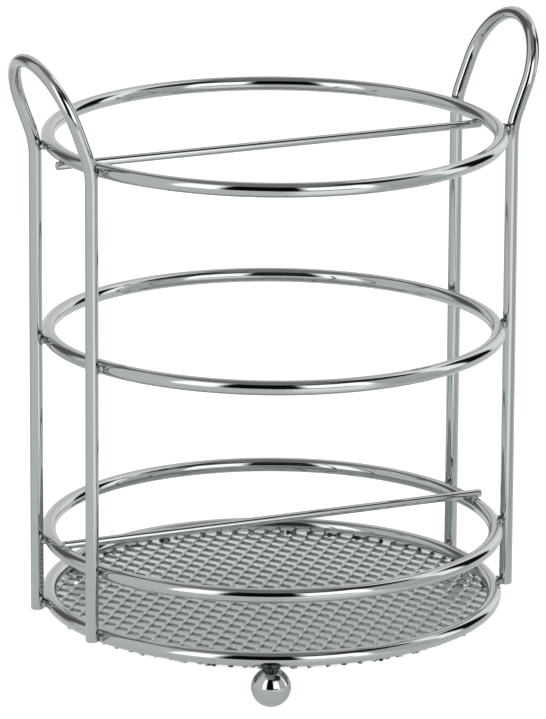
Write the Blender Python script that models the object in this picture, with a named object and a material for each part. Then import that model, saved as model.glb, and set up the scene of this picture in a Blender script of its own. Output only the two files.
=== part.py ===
"""Round cutlery holder of welded, chrome-plated steel wire, at real size.

Units are metres and +Z is up. The origin lies on the resting plane, below the middle of the base.
The two handle frames stand at -X and +X, and the divider rods run between them along X.

Every wire is a solid of its own. Where the real wires are welded to each other, the solids keep
JOINT_GAP between them, and each place is worked out from the sizes of the pieces that meet there.
"""

import math

import bmesh
import bpy
from mathutils import Vector

# Welded rings, measured on the wire's centre line
RING_RADIUS = 0.0580
RING_WIRE_DIAMETER = 0.0038
LOWER_RING_RISE = 0.0168
MIDDLE_RING_RISE = 0.07035
TOP_RING_RISE = 0.1219

# The middle ring is welded in a little out of level, with its front edge high
MIDDLE_RING_TILT = math.radians(-0.8)
MIDDLE_RING_TURN = math.radians(-24.4)

# Clearance that stands for each weld, and the overrun of every cutter
JOINT_GAP = 0.0003
CUT_OVERRUN = 0.0010

# Handle frames: two uprights joined by a leaning loop, and welded on a little out of line
HANDLE_WIRE_DIAMETER = 0.0034
HANDLE_SPREAD = 0.0336
UPRIGHT_TAIL = 0.0018
LEAN_ANGLE = math.radians(20.4)
LEAN_START_DROP = 0.0030
LEAN_BEND_RADIUS = 0.0210
LEAN_LEG_LENGTH = 0.0147
CREST_RISE = 0.0158
RIGHT_HANDLE_TURN = math.radians(-0.5)
LEFT_HANDLE_TURN = math.radians(182.3)

# Divider rods
DIVIDER_WIRE_DIAMETER = 0.0022
DIVIDER_OVERHANG = 0.0015
DIVIDER_OFFSET = 0.0008

# Expanded-metal base panel, whose rim sits at an angle round the wire of the ring above it
PANEL_SEAT_ANGLE = math.radians(31.5)
PANEL_THICKNESS = 0.0010
PANEL_RIM_WIDTH = 0.0014
CELL_LENGTH = 0.0115
CELL_WIDTH = 0.0058
STRAND_WIDTH = 0.0014
CELL_TURN = math.radians(78.0)
LEAST_HOLE_SHARE = 0.3

# Ball feet
BALL_DIAMETER = 0.0102
FOOT_FLAT_DIAMETER = 0.0024
WELD_COLLAR_DIAMETER = 0.0044
FOOT_COUNT = 3
FRONT_FOOT_TURN = math.radians(245.6)

# Facet counts
RING_STEPS = 64
BEND_STEPS = 6
CREST_STEPS = 20
FOOT_STEPS = 24
BALL_STEPS = 14
PANEL_STEPS = 96
NOTCH_STEPS = 24
WIRE_BEVEL_RESOLUTION = 3
SHARP_ANGLE = math.radians(40)
MERGE_DISTANCE = 0.00001

# Plated steel as the photograph shows it
CHROME_COLOUR = (0.70, 0.73, 0.72, 1.0)
CHROME_METALLIC = 1.0
WIRE_ROUGHNESS = 0.06
PANEL_ROUGHNESS = 0.22

# Heights worked out from the feet upwards
RING_WIRE_RADIUS = RING_WIRE_DIAMETER / 2
HANDLE_WIRE_RADIUS = HANDLE_WIRE_DIAMETER / 2
DIVIDER_WIRE_RADIUS = DIVIDER_WIRE_DIAMETER / 2
BALL_RADIUS = BALL_DIAMETER / 2
BALL_HEIGHT = math.sqrt(BALL_RADIUS**2 - (FOOT_FLAT_DIAMETER / 2) ** 2)
BASE_RING_HEIGHT = BALL_HEIGHT + BALL_RADIUS + JOINT_GAP + RING_WIRE_RADIUS
LOWER_RING_HEIGHT = BASE_RING_HEIGHT + LOWER_RING_RISE
MIDDLE_RING_HEIGHT = BASE_RING_HEIGHT + MIDDLE_RING_RISE
TOP_RING_HEIGHT = BASE_RING_HEIGHT + TOP_RING_RISE


def clear_scene():
    """Remove every object that the file was opened with."""
    for obj in list(bpy.data.objects):
        bpy.data.objects.remove(obj, do_unlink=True)


def chrome(name, roughness):
    """Return a chrome-plated finish for one sub-part."""
    material = bpy.data.materials.new(name)
    material.use_nodes = True
    surface = material.node_tree.nodes["Principled BSDF"]
    surface.inputs["Base Color"].default_value = CHROME_COLOUR
    surface.inputs["Metallic"].default_value = CHROME_METALLIC
    surface.inputs["Roughness"].default_value = roughness
    material.diffuse_color = CHROME_COLOUR
    return material


def place(obj, parent, height=0.0, shift=0.0, turn=0.0, tilt=0.0, roughness=WIRE_ROUGHNESS):
    """Link an object, hang it on the holder's empty and give it its own finish.

    The tilt is about the object's own X axis, which the turn then swings round.
    """
    bpy.context.scene.collection.objects.link(obj)
    obj.parent = parent
    obj.location = (shift, 0.0, height)
    obj.rotation_euler = (tilt, 0.0, turn)
    obj.data.materials.append(chrome(obj.name + "_chrome", roughness))
    return obj


def wire(name, points, diameter, closed, twist="MINIMUM"):
    """Return a round wire whose centre line runs through the points."""
    curve = bpy.data.curves.new(name, "CURVE")
    curve.dimensions = "3D"
    curve.twist_mode = twist
    curve.bevel_depth = diameter / 2
    curve.bevel_resolution = WIRE_BEVEL_RESOLUTION
    curve.use_fill_caps = not closed
    spline = curve.splines.new("POLY")
    spline.points.add(len(points) - 1)
    for control, point in zip(spline.points, points):
        control.co = (*point, 1.0)
    spline.use_cyclic_u = closed
    return bpy.data.objects.new(name, curve)


def ring_points():
    """Points of a level circle of the rings' radius."""
    turns = [2 * math.pi * step / RING_STEPS for step in range(RING_STEPS)]
    return [Vector((RING_RADIUS * math.cos(t), RING_RADIUS * math.sin(t), 0.0)) for t in turns]


def add_rings(parent):
    """Add the four rings, from the base up to the rim. Only the middle one is out of level."""
    rings = (
        ("base_ring", BASE_RING_HEIGHT, 0.0, 0.0),
        ("lower_guard_ring", LOWER_RING_HEIGHT, 0.0, 0.0),
        ("middle_ring", MIDDLE_RING_HEIGHT, MIDDLE_RING_TURN, MIDDLE_RING_TILT),
        ("top_rim_ring", TOP_RING_HEIGHT, 0.0, 0.0),
    )
    for name, height, turn, tilt in rings:
        ring = wire(name, ring_points(), RING_WIRE_DIAMETER, closed=True, twist="Z_UP")
        place(ring, parent, height=height, turn=turn, tilt=tilt)


def upright_distance():
    """Distance from the holder's axis to the plane of a frame's two uprights.

    Each upright stands against the outside of the rings, a quarter of the way round or less from
    the frame's middle, so the plane lies inside the circle that both wires' axes stand on.
    """
    axis_radius = RING_RADIUS + RING_WIRE_RADIUS + JOINT_GAP + HANDLE_WIRE_RADIUS
    return math.sqrt(axis_radius**2 - (HANDLE_SPREAD / 2) ** 2)


def lean_point(length, side):
    """Point of the handle wire at a length above the start of the lean, side by side with the axis.

    The wire first follows an arc of the bend radius, then a straight line at the lean angle.
    """
    arc = min(length, LEAN_BEND_RADIUS * LEAN_ANGLE)
    angle = arc / LEAN_BEND_RADIUS
    rest = length - arc
    out = LEAN_BEND_RADIUS * (1 - math.cos(angle)) + rest * math.sin(angle)
    up = LEAN_BEND_RADIUS * math.sin(angle) + rest * math.cos(angle)
    start = TOP_RING_HEIGHT - LEAN_START_DROP
    return Vector((upright_distance() + out, side, start + up))


def handle_points():
    """Centre line of one handle frame, from one upright's tail over the loop to the other's."""
    half = HANDLE_SPREAD / 2
    tail = Vector((upright_distance(), half, BASE_RING_HEIGHT - UPRIGHT_TAIL))
    arc_length = LEAN_BEND_RADIUS * LEAN_ANGLE
    bend = [lean_point(arc_length * step / BEND_STEPS, half) for step in range(BEND_STEPS + 1)]
    crest = []
    for step in range(2 * CREST_STEPS + 1):
        turn = math.pi * step / (2 * CREST_STEPS)
        crest.append(lean_point(LEAN_LEG_LENGTH + CREST_RISE * math.sin(turn), half * math.cos(turn)))
    leg = [tail, *bend]
    other = [Vector((point.x, -point.y, point.z)) for point in reversed(leg)]
    return leg + crest + other


def add_handle_frames(parent):
    """Add the two frames, the left one being the right one turned about half way round."""
    frames = (("right_handle_frame", RIGHT_HANDLE_TURN), ("left_handle_frame", LEFT_HANDLE_TURN))
    for name, turn in frames:
        frame = wire(name, handle_points(), HANDLE_WIRE_DIAMETER, closed=False)
        place(frame, parent, turn=turn)


def add_divider_rods(parent):
    """Add the rod below the rim ring and the rod above the lower guard ring."""
    half = RING_RADIUS + DIVIDER_OVERHANG
    seat = RING_WIRE_RADIUS + JOINT_GAP + DIVIDER_WIRE_RADIUS
    rods = (
        ("top_divider_rod", TOP_RING_HEIGHT - seat, -DIVIDER_OFFSET),
        ("lower_divider_rod", LOWER_RING_HEIGHT + seat, DIVIDER_OFFSET),
    )
    for name, height, shift in rods:
        ends = [Vector((-half, 0.0, 0.0)), Vector((half, 0.0, 0.0))]
        rod = wire(name, ends, DIVIDER_WIRE_DIAMETER, closed=False)
        place(rod, parent, height=height, shift=shift)


def foot_turns():
    """Angles at which the feet stand round the base ring, the front one first."""
    return [FRONT_FOOT_TURN + 2 * math.pi * step / FOOT_COUNT for step in range(FOOT_COUNT)]


def panel_radius():
    """Radius of the panel, whose top edge keeps the gap to the round wire of the base ring."""
    return RING_RADIUS - (RING_WIRE_RADIUS + JOINT_GAP) * math.sin(PANEL_SEAT_ANGLE)


def panel_top():
    """Height of the panel's top face, at the same gap below the wire of the base ring."""
    return BASE_RING_HEIGHT - (RING_WIRE_RADIUS + JOINT_GAP) * math.cos(PANEL_SEAT_ANGLE)


def notch_radius():
    """Radius of the rim notch over a foot, which clears both its ball and its weld collar."""
    drop = panel_top() - PANEL_THICKNESS - BALL_HEIGHT
    ball_reach = math.sqrt(max(0.0, (BALL_RADIUS + JOINT_GAP) ** 2 - drop**2))
    return max(ball_reach, WELD_COLLAR_DIAMETER / 2 + JOINT_GAP)


def circle_outline(radius, steps, centre=Vector((0.0, 0.0))):
    """Corners of a regular outline round a centre, anticlockwise."""
    turns = [2 * math.pi * step / steps for step in range(steps)]
    return [centre + radius * Vector((math.cos(t), math.sin(t))) for t in turns]


def clipped(outline, boundary):
    """Part of a convex outline that lies inside a convex boundary, both of them anticlockwise."""
    for start, end in zip(boundary, boundary[1:] + boundary[:1]):
        sides = [(end - start).cross(corner - start) for corner in outline]
        kept = []
        for index, corner in enumerate(outline):
            if (sides[index] > 0) != (sides[index - 1] > 0):
                share = sides[index - 1] / (sides[index - 1] - sides[index])
                kept.append(outline[index - 1].lerp(corner, share))
            if sides[index] > 0:
                kept.append(corner)
        outline = kept
    return outline


def area(outline):
    """Area inside an anticlockwise outline."""
    return sum(outline[index - 1].cross(corner) for index, corner in enumerate(outline)) / 2


def cell_holes():
    """Outlines of the panel's rhombic holes, each with its corners in the panel's plane.

    Cells repeat by half a length and half a width, as slit and stretched metal does. A hole is its
    cell drawn in by half a strand on every side. It ends at the rim, and a small rest of a hole
    there is left out, as is a hole that comes near a foot's notch.
    """
    side_gap = CELL_LENGTH * CELL_WIDTH / math.hypot(CELL_LENGTH, CELL_WIDTH)
    open_share = max(0.0, 1 - STRAND_WIDTH / side_gap)
    along = Vector((math.cos(CELL_TURN), math.sin(CELL_TURN)))
    across = Vector((-along.y, along.x))
    long_half = along * (CELL_LENGTH / 2 * open_share)
    wide_half = across * (CELL_WIDTH / 2 * open_share)
    least_area = LEAST_HOLE_SHARE * 2 * long_half.length * wide_half.length
    rim = circle_outline(panel_radius() - PANEL_RIM_WIDTH, PANEL_STEPS)
    feet = [RING_RADIUS * Vector((math.cos(t), math.sin(t))) for t in foot_turns()]
    foot_reach = notch_radius() + PANEL_RIM_WIDTH
    rows = math.ceil(2 * RING_RADIUS / CELL_LENGTH)
    columns = math.ceil(2 * RING_RADIUS / CELL_WIDTH)
    holes = []
    for row in range(-rows, rows + 1):
        for column in range(-columns, columns + 1):
            if (row + column) % 2:
                continue
            middle = along * (CELL_LENGTH / 2 * row) + across * (CELL_WIDTH / 2 * column)
            cell = [middle + long_half, middle + wide_half, middle - long_half, middle - wide_half]
            hole = clipped(cell, rim)
            clear = all((corner - foot).length > foot_reach for corner in hole for foot in feet)
            if clear and area(hole) > least_area:
                holes.append(hole)
    return holes


def add_prism(mesh, corners, low, high):
    """Add a closed upright prism over an outline that runs anticlockwise."""
    bottom = [mesh.verts.new((corner.x, corner.y, low)) for corner in corners]
    top = [mesh.verts.new((corner.x, corner.y, high)) for corner in corners]
    mesh.faces.new(reversed(bottom))
    mesh.faces.new(top)
    for index in range(len(corners)):
        after = (index + 1) % len(corners)
        mesh.faces.new((bottom[index], bottom[after], top[after], top[index]))


def mesh_object(name, mesh):
    """Return an object that holds a finished bmesh."""
    data = bpy.data.meshes.new(name)
    bmesh.ops.recalc_face_normals(mesh, faces=mesh.faces)
    mesh.to_mesh(data)
    mesh.free()
    return bpy.data.objects.new(name, data)


def add_base_panel(parent):
    """Add the base panel, a flat net cut with rhombic holes and notched over the feet."""
    sheet = bmesh.new()
    add_prism(sheet, circle_outline(panel_radius(), PANEL_STEPS), -PANEL_THICKNESS, 0.0)
    panel = mesh_object("base_mesh_panel", sheet)
    place(panel, parent, height=panel_top(), roughness=PANEL_ROUGHNESS)

    holes = bmesh.new()
    low, high = -PANEL_THICKNESS - CUT_OVERRUN, CUT_OVERRUN
    for corners in cell_holes():
        add_prism(holes, corners, low, high)
    round_out = notch_radius() / math.cos(math.pi / NOTCH_STEPS)
    for turn in foot_turns():
        centre = RING_RADIUS * Vector((math.cos(turn), math.sin(turn)))
        add_prism(holes, circle_outline(round_out, NOTCH_STEPS, centre), low, high)
    cutter = place(mesh_object("base_panel_cutter", holes), parent, height=panel_top())
    cutter.hide_render = True
    cutter.display_type = "WIRE"

    cut = panel.modifiers.new("holes and notches", "BOOLEAN")
    cut.operation = "DIFFERENCE"
    cut.solver = "EXACT"
    cut.object = cutter


def foot_profile():
    """Half outline of a ball foot, from the flat it rests on up to the flat of its weld collar."""
    flat = FOOT_FLAT_DIAMETER / 2
    collar = WELD_COLLAR_DIAMETER / 2
    low = math.asin(flat / BALL_RADIUS)
    high = math.pi - math.asin(collar / BALL_RADIUS)
    outline = [(0.0, 0.0)]
    for step in range(BALL_STEPS + 1):
        turn = low + (high - low) * step / BALL_STEPS
        outline.append((BALL_RADIUS * math.sin(turn), BALL_HEIGHT - BALL_RADIUS * math.cos(turn)))
    collar_top = BASE_RING_HEIGHT - RING_WIRE_RADIUS - JOINT_GAP
    outline += [(collar, collar_top), (0.0, collar_top)]
    return outline


def add_ball_feet(parent):
    """Add the feet, each a ball with a short weld collar, spun round an upright axis."""
    names = ("ball_foot_front", "ball_foot_right", "ball_foot_rear")
    for index, turn in enumerate(foot_turns()):
        name = names[index] if index < len(names) else f"ball_foot_{index + 1}"
        mesh = bmesh.new()
        outline = [mesh.verts.new((x, 0.0, z)) for x, z in foot_profile()]
        edges = [mesh.edges.new(pair) for pair in zip(outline, outline[1:])]
        bmesh.ops.spin(
            mesh, geom=outline + edges, axis=(0, 0, 1), cent=(0, 0, 0),
            angle=2 * math.pi, steps=FOOT_STEPS, use_merge=True,
        )
        bmesh.ops.remove_doubles(mesh, verts=mesh.verts, dist=MERGE_DISTANCE)
        foot = mesh_object(name, mesh)
        foot.data.shade_smooth()
        foot.data.set_sharp_from_angle(angle=SHARP_ANGLE)
        place(foot, parent)
        foot.location = (RING_RADIUS * math.cos(turn), RING_RADIUS * math.sin(turn), 0.0)


def main():
    """Build the holder from its feet to its handles."""
    clear_scene()
    holder = bpy.data.objects.new("cutlery_holder", None)
    bpy.context.scene.collection.objects.link(holder)
    add_ball_feet(holder)
    add_base_panel(holder)
    add_rings(holder)
    add_divider_rods(holder)
    add_handle_frames(holder)
    bpy.context.view_layer.update()


main()
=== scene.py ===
"""Looks of a round, open cutlery holder of welded and chrome-plated steel wire.

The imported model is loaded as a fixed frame. Every part of it is then stood for by a finer surface,
worked out with numpy from the frame's own places: round drawn wires, lumpy welds, raised expanded
metal and ball feet. All lengths are in metres, +Z is up, and the handles stand at -X and +X.
"""

from __future__ import annotations

import logging
from dataclasses import dataclass
from enum import Enum

import bpy
import numpy as np
from mathutils import Matrix, Vector

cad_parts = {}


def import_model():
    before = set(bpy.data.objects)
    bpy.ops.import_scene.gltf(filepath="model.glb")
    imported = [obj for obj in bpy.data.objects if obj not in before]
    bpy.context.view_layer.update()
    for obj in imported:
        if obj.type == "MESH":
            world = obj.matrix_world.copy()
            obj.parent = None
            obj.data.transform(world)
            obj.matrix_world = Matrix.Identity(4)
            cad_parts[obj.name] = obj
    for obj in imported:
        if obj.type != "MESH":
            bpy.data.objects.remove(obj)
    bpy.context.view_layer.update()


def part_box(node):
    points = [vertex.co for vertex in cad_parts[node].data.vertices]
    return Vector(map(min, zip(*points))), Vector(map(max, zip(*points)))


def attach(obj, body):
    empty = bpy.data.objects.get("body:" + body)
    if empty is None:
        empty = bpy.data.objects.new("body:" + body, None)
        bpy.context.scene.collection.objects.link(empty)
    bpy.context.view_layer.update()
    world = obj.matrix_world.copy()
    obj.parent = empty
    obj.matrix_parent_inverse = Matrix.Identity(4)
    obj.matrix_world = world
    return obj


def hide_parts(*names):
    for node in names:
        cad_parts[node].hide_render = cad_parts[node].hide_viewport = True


LOG = logging.getLogger("cutlery_holder")
BODY = "root"

UP = np.array([0.0, 0.0, 1.0])
LEVEL_PART = np.array([1.0, 1.0, 0.0])
WHITE = (1.0, 1.0, 1.0, 1.0)

Array = np.ndarray
Pair = tuple[float, float]
Triple = tuple[float, float, float]

# Waves that lump a weld: broad ones across, up and back, finer ones up and across, the finer
# ones' share of the height, and how a lump's seed shifts each after the first. The gap is the
# angle at a lump's poles that flat caps close.
BROAD_WAVES = (3, 5, 4)
FINE_WAVES = (7, 6)
FINE_SHARE = 0.5
SEED_SHIFTS = (2.3, 3.1)
POLE_GAP = 0.06


class Slot(Enum):
    """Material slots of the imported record."""

    WIRE = "wire"
    MESH = "expanded_mesh"
    BALL = "ball"


class Level(Enum):
    """Rings of the holder, from the base up, by the name of their part."""

    BASE = "base_ring"
    GUARD = "lower_guard_ring"
    MIDDLE = "middle_ring"
    RIM = "top_rim_ring"


# Divider rods: the part of each, its ring, and 1 where it lies on the ring, -1 where it is below.
RODS = (("top_divider_rod", Level.RIM, -1), ("lower_divider_rod", Level.GUARD, 1))


def linear_colour(hex_code: str) -> tuple[float, float, float, float]:
    """Turn an sRGB hex value into the linear colour that a shader takes, by the standard's curve.

    Args:
        hex_code: Colour as #RRGGBB.

    Returns:
        Linear red, green, blue and an alpha of one.
    """
    channels = np.array([int(hex_code[place : place + 2], 16) for place in (1, 3, 5)]) / 255
    linear = np.where(channels <= 0.04045, channels / 12.92, ((channels + 0.055) / 1.055) ** 2.4)
    return (*(float(value) for value in linear), 1.0)


def bare_tree(owner: bpy.types.Material | bpy.types.World) -> bpy.types.NodeTree:
    """Give a new material or world an empty node tree.

    Args:
        owner: The material or world.

    Returns:
        Its tree.
    """
    owner.use_nodes = True
    owner.node_tree.nodes.clear()
    return owner.node_tree


def add_node(
    tree: bpy.types.NodeTree,
    kind: str,
    settings: dict[str | int, object] | None = None,
    links: dict[str | int, bpy.types.NodeSocket] | None = None,
) -> bpy.types.Node:
    """Add one shader node, with its settings and what feeds it.

    Args:
        tree: Node tree that takes the node.
        kind: Blender's name of the node's type.
        settings: Values of inputs, by name or number, or of the node's own properties.
        links: Output sockets, by the input that each feeds.

    Returns:
        The new node.
    """
    node = tree.nodes.new(kind)
    for key, value in (settings or {}).items():
        if isinstance(key, int) or key in node.inputs:
            node.inputs[key].default_value = value
        else:
            setattr(node, key, value)
    for key, socket in (links or {}).items():
        tree.links.new(socket, node.inputs[key])
    return node


@dataclass(frozen=True)
class PlatedMetal:
    """Chrome plating over steel, as bright as the steel below was polished.

    The plating copies what lies under it. Its tint is near neutral with a touch of green, the
    roughness drifts a little from place to place, and low ripples bend the reflected edges.
    """

    name: str
    colour: str = "#B3B7B5"
    roughness: float = 0.05
    roughness_drift: float = 0.03  # to either side
    ripple_spacing: float = 0.0050
    ripple_height: float = 0.000010
    grain_spacing: float = 0.00035
    grain_height: float = 0.0000006
    drift_ripples: float = 3  # ripples over which the roughness drifts
    details: Triple = (3.0, 1.0, 2.0)  # of the noise for drift, ripples and grain
    noise_span: Pair = (0.3, 0.7)  # where most of a noise's values lie

    def material(self) -> bpy.types.Material:
        """Build the node tree of the finish.

        Returns:
            The material, ready for a mesh's slot.
        """
        material = bpy.data.materials.new(self.name)
        tree = bare_tree(material)
        place = {"Vector": add_node(tree, "ShaderNodeTexCoord").outputs["Object"]}
        wide = self.drift_ripples * self.ripple_spacing
        spacings = (wide, self.ripple_spacing, self.grain_spacing)
        drift, ripple, grain = (
            add_node(tree, "ShaderNodeTexNoise", {"Scale": 1 / spacing, "Detail": detail}, place)
            for spacing, detail in zip(spacings, self.details)
        )
        roughness = add_node(
            tree,
            "ShaderNodeMapRange",
            {
                "From Min": self.noise_span[0],
                "From Max": self.noise_span[1],
                "To Min": max(0.0, self.roughness - self.roughness_drift),
                "To Max": self.roughness + self.roughness_drift,
            },
            {"Value": drift.outputs["Fac"]},
        )
        below = {}
        for noise, height in ((ripple, self.ripple_height), (grain, self.grain_height)):
            relief = add_node(
                tree,
                "ShaderNodeBump",
                {"Strength": 1.0, "Distance": height},
                {"Height": noise.outputs["Fac"], **below},
            )
            below = {"Normal": relief.outputs["Normal"]}
        surface = add_node(
            tree,
            "ShaderNodeBsdfPrincipled",
            {"Base Color": linear_colour(self.colour), "Metallic": 1.0},
            {"Roughness": roughness.outputs["Result"], **below},
        )
        add_node(tree, "ShaderNodeOutputMaterial", links={"Surface": surface.outputs["BSDF"]})
        return material


# Drawn and polished wire: mirror bright, with the low waves that bending leaves.
WIRE_CHROME = PlatedMetal(name="bright_chrome_wire")

# Polished ball: smoother than the wires, so the room shows sharply in it.
BALL_CHROME = PlatedMetal(
    name="bright_chrome_ball", roughness=0.03, roughness_drift=0.02, ripple_height=0.000003
)

# Slit and stretched sheet is plated unpolished, so it is duller and its faces are uneven.
SHEET_CHROME = PlatedMetal(
    name="satin_chrome_sheet",
    colour="#BAC0BC",
    roughness=0.20,
    roughness_drift=0.06,
    ripple_spacing=0.0012,
    ripple_height=0.00003,
    grain_spacing=0.00025,
    grain_height=0.000004,
)

# Squeezed-out weld metal: lumpy under the plating, so it sparkles light and dark.
WELD_CHROME = PlatedMetal(
    name="plated_weld_bead",
    colour="#A5AAA8",
    roughness=0.14,
    roughness_drift=0.06,
    ripple_spacing=0.0007,
    ripple_height=0.00006,
    grain_spacing=0.0002,
    grain_height=0.000005,
)

# Dark weld metal, in the crevices, under the base ring and over the balls: partly scale where the
# plating hardly takes, partly painted shade of those hollows.
WELD_SCALE_AND_SHADE = PlatedMetal(
    name="dark_weld_metal_and_painted_shade",
    colour="#4A4E4C",
    roughness=0.24,
    roughness_drift=0.08,
    ripple_spacing=0.0007,
    ripple_height=0.00008,
    grain_spacing=0.0002,
    grain_height=0.000006,
)


def grid_quads(rows: int, columns: int, closed: bool = False) -> Array:
    """Corner numbers of the faces of a grid of points whose last column joins its first.

    Args:
        rows: Rows of points.
        columns: Points in a row.
        closed: Whether the last row joins the first too.

    Returns:
        Four point numbers for each face: its own point, the next in the row, the one after that
        in the next row, and the one below its own.
    """
    counts = np.arange(rows if closed else rows - 1), np.arange(columns)
    row, column = np.meshgrid(*counts, indexing="ij")
    next_row, next_column = (row + 1) % rows, (column + 1) % columns
    corners = [(row, column), (row, next_column), (next_row, next_column), (next_row, column)]
    return np.stack([r * columns + c for r, c in corners], axis=-1).reshape(-1, 4)


@dataclass
class Skin:
    """Faces over a run of outlines, as rows by columns by three points.

    Each row is one outline, which runs anticlockwise seen from the run's far end.
    """

    rings: Array
    along: Array  # distance of each row along the run
    closed: bool = False  # whether the last row joins the first

    def quads(self) -> Array:
        """Corner numbers of the faces between neighbouring rows, anticlockwise from outside."""
        return grid_quads(*self.rings.shape[:2], self.closed)

    def quad_maps(self) -> Array:
        """Map places of the quads' corners.

        Returns:
            Metres along the run and round it, for each corner.
        """
        gaps = np.linalg.norm(np.diff(self.rings[0], axis=0, append=self.rings[0, :1]), axis=1)
        round_it = np.concatenate([[0.0], np.cumsum(gaps)])
        along = self.along
        if self.closed:
            along = np.append(along, 2 * along[-1] - along[-2])
        row, column = np.meshgrid(np.arange(len(along) - 1), np.arange(len(gaps)), indexing="ij")
        corners = [(row, column), (row, column + 1), (row + 1, column + 1), (row + 1, column)]
        places = [np.stack([along[r], round_it[c]], axis=-1) for r, c in corners]
        return np.stack(places, axis=-2).reshape(-1, 2)

    def caps(self) -> list[Array]:
        """Corner numbers of the end faces, two on an open run and none on a closed one.

        Returns:
            Each face's corners, anticlockwise from outside.
        """
        rows, columns = self.rings.shape[:2]
        corners = np.arange(columns)
        return [] if self.closed else [corners[::-1], (rows - 1) * columns + corners]


def placed(name: str, data: bpy.types.ID) -> bpy.types.Object:
    """Make an object of a mesh or a camera and put it into the scene.

    Args:
        name: Name of the object.
        data: The mesh or camera.

    Returns:
        The object, at the origin.
    """
    thing = bpy.data.objects.new(name, data)
    bpy.context.scene.collection.objects.link(thing)
    return thing


def mesh_of_skins(name: str, skins: list[Skin]) -> bpy.types.Object:
    """Join skins into one smooth-shaded mesh object with a map in metres.

    Args:
        name: Name of the piece.
        skins: Surfaces that make it up.

    Returns:
        An object at the origin, whose place is in its mesh.
    """
    points, loops, sizes, maps = [], [], [], []
    start = 0
    for skin in skins:
        points.append(skin.rings.reshape(-1, 3))
        quads = skin.quads()
        loops.append((quads + start).ravel())
        sizes.append(np.full(len(quads), 4))
        maps.append(skin.quad_maps())
        for cap in skin.caps():
            loops.append(cap + start)
            sizes.append([len(cap)])
            maps.append(np.zeros((len(cap), 2)))
        start += len(points[-1])
    corners = np.concatenate(loops).astype(np.int32)
    totals = np.concatenate(sizes).astype(np.int32)
    starts = np.concatenate([[0], np.cumsum(totals)[:-1]]).astype(np.int32)
    mesh = bpy.data.meshes.new(name)
    mesh.vertices.add(start)
    mesh.vertices.foreach_set("co", np.concatenate(points).astype(np.float32).ravel())
    mesh.loops.add(len(corners))
    mesh.loops.foreach_set("vertex_index", corners)
    mesh.polygons.add(len(totals))
    mesh.polygons.foreach_set("loop_start", starts)
    mesh.uv_layers.new(name="wire_map")
    mesh.update(calc_edges=True)
    mesh.validate()
    layer = mesh.uv_layers["wire_map"]
    layer.data.foreach_set("uv", np.concatenate(maps).astype(np.float32).ravel())
    mesh.shade_smooth()
    return placed(name, mesh)


def dress(
    piece: bpy.types.Object, finish: PlatedMetal, stands_for: str | None = None
) -> None:
    """Give a piece its finish and its body, hide the part it stands for, and report it.

    Args:
        piece: The new piece.
        finish: Finish of its surface.
        stands_for: Part of the frame that the piece is shown in place of.
    """
    material = bpy.data.materials.get(finish.name) or finish.material()
    piece.data.materials.append(material)
    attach(piece, BODY)
    if stands_for:
        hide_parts(stands_for)
    LOG.info("%s: %d faces, %s", piece.name, len(piece.data.polygons), finish.name)


def unit(vectors: Array) -> Array:
    """Scale each vector of an array to a length of one."""
    return vectors / np.linalg.norm(vectors, axis=-1, keepdims=True)


def arc_lengths(points: Array) -> Array:
    """Distance of each point along the line through all of them, from zero."""
    steps = np.linalg.norm(np.diff(points, axis=0), axis=1)
    return np.concatenate([[0.0], np.cumsum(steps)])


def resampled(points: Array, stations: Array) -> Array:
    """Points of a line at given distances along it."""
    lengths = arc_lengths(points)
    return np.stack([np.interp(stations, lengths, points[:, axis]) for axis in range(3)], axis=-1)


def turned(points: Array, angle: float) -> Array:
    """Points turned anticlockwise about the holder's axis by an angle."""
    cos, sin = np.cos(angle), np.sin(angle)
    return points @ np.array([[cos, sin, 0], [-sin, cos, 0], [0, 0, 1]])


def eased(share: Array) -> Array:
    """Smooth step of a share, kept from 0 to 1: thrice its square less twice its cube."""
    share = np.clip(share, 0, 1)
    return share**2 * (3 - 2 * share)


def mixed(below: Array | float, above: Array | float, cover: Array) -> Array:
    """Lay one level over another, where the cover is the share of it that shows."""
    return below * (1 - cover) + above * cover


def lump(
    centre: Array, axes: Array, half_sizes: Array, share: float, seed: float, grid: tuple[int, int]
) -> Skin:
    """Skin of one lump of weld: an ellipsoid whose radius is raised and lowered by a few waves.

    Args:
        centre: Middle of the lump.
        axes: Three directions, one in each row, for the half sizes.
        half_sizes: Half lengths along those directions.
        share: How far the waves raise and lower the surface, as a share of its radius.
        seed: Shift of the waves, so that no two lumps are alike.
        grid: Rows from pole to pole, and faces round.

    Returns:
        The lump's surface.
    """
    polar = np.linspace(POLE_GAP, np.pi - POLE_GAP, grid[0])[:, None]
    turn = np.linspace(0, 2 * np.pi, grid[1], endpoint=False)[None, :]
    x, y, z = np.sin(polar) * np.cos(turn), np.sin(polar) * np.sin(turn), -np.cos(polar) + 0 * turn
    across, up, back = BROAD_WAVES
    waves = np.sin(across * x + up * z + seed) * np.sin(back * y + SEED_SHIFTS[0] * seed)
    up, across = FINE_WAVES
    waves += FINE_SHARE * np.sin(up * z + across * x * y + SEED_SHIFTS[1] * seed)
    scaled = np.stack([x, y, z], axis=-1) * (1 + share * waves[..., None]) * half_sizes
    return Skin(centre + scaled @ axes, np.linspace(0, half_sizes.max(), grid[0]))


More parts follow.
